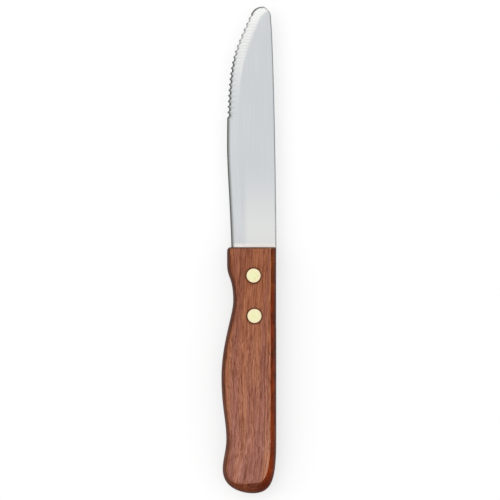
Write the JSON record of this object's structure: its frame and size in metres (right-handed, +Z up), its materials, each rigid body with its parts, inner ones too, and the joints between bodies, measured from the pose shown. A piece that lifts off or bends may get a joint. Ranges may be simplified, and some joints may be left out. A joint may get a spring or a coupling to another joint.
{
  "type": "steak knife",
  "caption": "Round-tipped steak knife with a fluted cutting edge, a half tang and a one-piece wooden handle held by brass rivets.",
  "frame": {"origin": "under the middle of the knife's box, on the surface that the handle lies on", "axes": "+X along the knife towards the tip, +Y from the spine towards the cutting edge, +Z up through the face with the flutes"},
  "size_m": [0.254, 0.0286, 0.014],
  "materials": {
    "steel": "satin",
    "wood": "satin",
    "brass": "satin"
  },
  "bodies": {
    "root": {"blade": "steel", "handle": "wood", "front_rivet_socket": "brass", "front_rivet_post": "brass", "rear_rivet_socket": "brass", "rear_rivet_post": "brass"}
  },
  "joints": []
}
